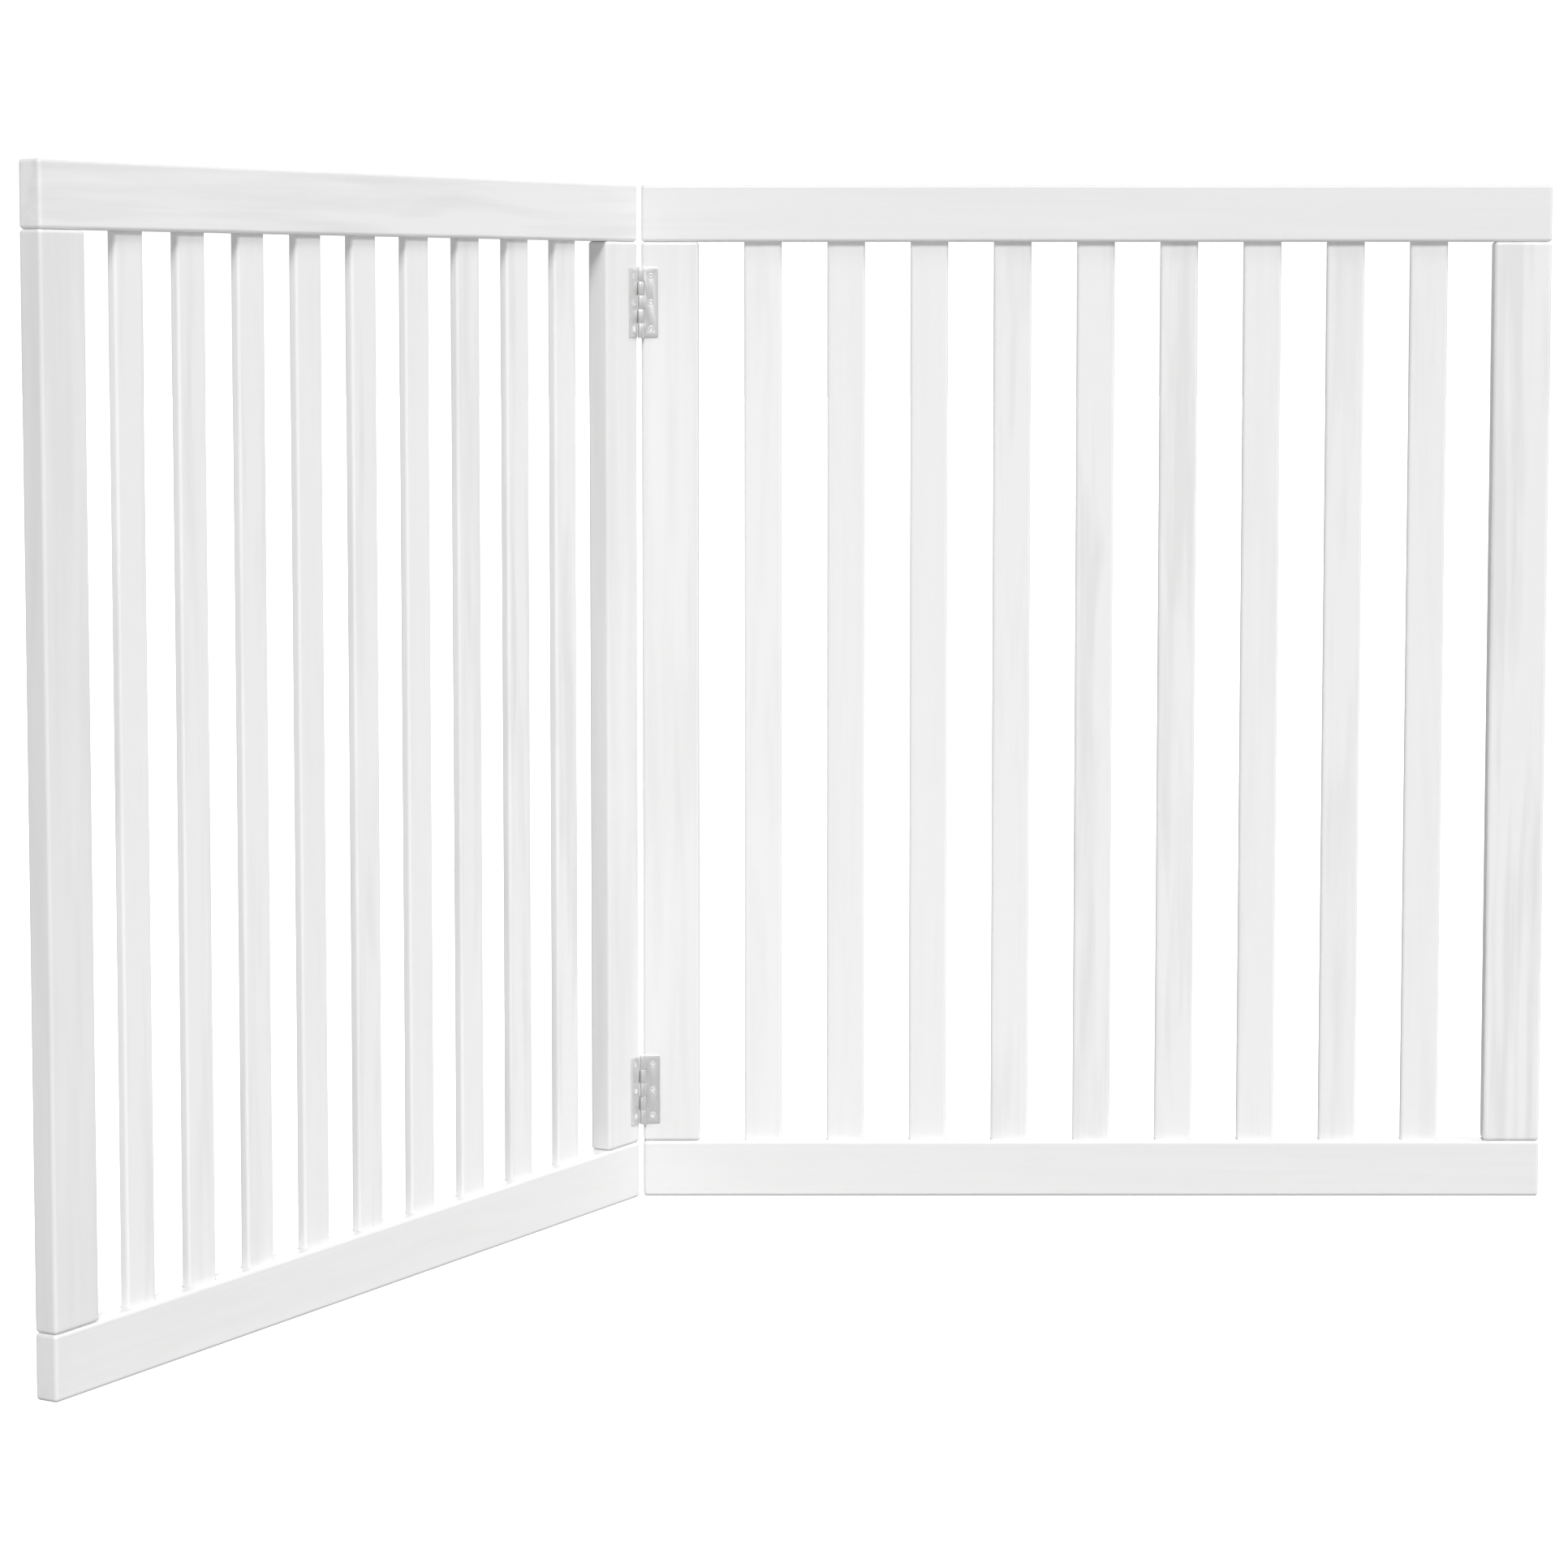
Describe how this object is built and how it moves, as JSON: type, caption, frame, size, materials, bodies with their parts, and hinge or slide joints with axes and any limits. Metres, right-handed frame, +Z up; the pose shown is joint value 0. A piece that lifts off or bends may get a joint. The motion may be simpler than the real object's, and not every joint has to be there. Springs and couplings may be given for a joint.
{
  "type": "pet gate",
  "caption": "Freestanding white wooden pet gate of two slatted panels that fold on butt hinges, each panel a frame of rails and stiles with upright slats.",
  "frame": {"origin": "bottom centre of the whole gate's bounding box at rest, on the floor", "axes": "+X along the right panel, away from the hinges; +Y from the gate's front to its back; +Z up"},
  "size_m": [1.2194, 0.7136, 0.9],
  "materials": {
    "white_paint": "white satin paint",
    "zinc_plate": "zinc, satin",
    "screw_steel": "zinc, bright",
    "beech": "bare, fluted by pressing"
  },
  "bodies": {
    "right_panel": {"right_panel_top_rail": "white_paint", "right_panel_bottom_rail": "white_paint", "right_panel_hinge_stile": "white_paint", "right_panel_outer_stile": "white_paint", "right_panel_slat_1": "white_paint", "right_panel_slat_2": "white_paint", "right_panel_slat_3": "white_paint", "right_panel_slat_4": "white_paint", "right_panel_slat_5": "white_paint", "right_panel_slat_6": "white_paint", "right_panel_slat_7": "white_paint", "right_panel_slat_8": "white_paint", "right_panel_slat_9": "white_paint", "right_panel_dowels": "beech", "upper_hinge_right_leaf": "zinc_plate", "upper_hinge_pin": "zinc_plate", "upper_hinge_right_screws": "screw_steel", "lower_hinge_right_leaf": "zinc_plate", "lower_hinge_pin": "zinc_plate", "lower_hinge_right_screws": "screw_steel"},
    "left_panel": {"left_panel_top_rail": "white_paint", "left_panel_bottom_rail": "white_paint", "left_panel_hinge_stile": "white_paint", "left_panel_outer_stile": "white_paint", "left_panel_slat_1": "white_paint", "left_panel_slat_2": "white_paint", "left_panel_slat_3": "white_paint", "left_panel_slat_4": "white_paint", "left_panel_slat_5": "white_paint", "left_panel_slat_6": "white_paint", "left_panel_slat_7": "white_paint", "left_panel_slat_8": "white_paint", "left_panel_slat_9": "white_paint", "left_panel_dowels": "beech", "upper_hinge_left_leaf": "zinc_plate", "upper_hinge_left_screws": "screw_steel", "lower_hinge_left_leaf": "zinc_plate", "lower_hinge_left_screws": "screw_steel"}
  },
  "joints": [
    {"name": "fold", "type": "hinge", "parent": "right_panel", "child": "left_panel", "pos_m": [-0.19078, 0.33394, 0.45], "axis": [0, 0, 1], "range_deg": [-62, 120]}
  ]
}
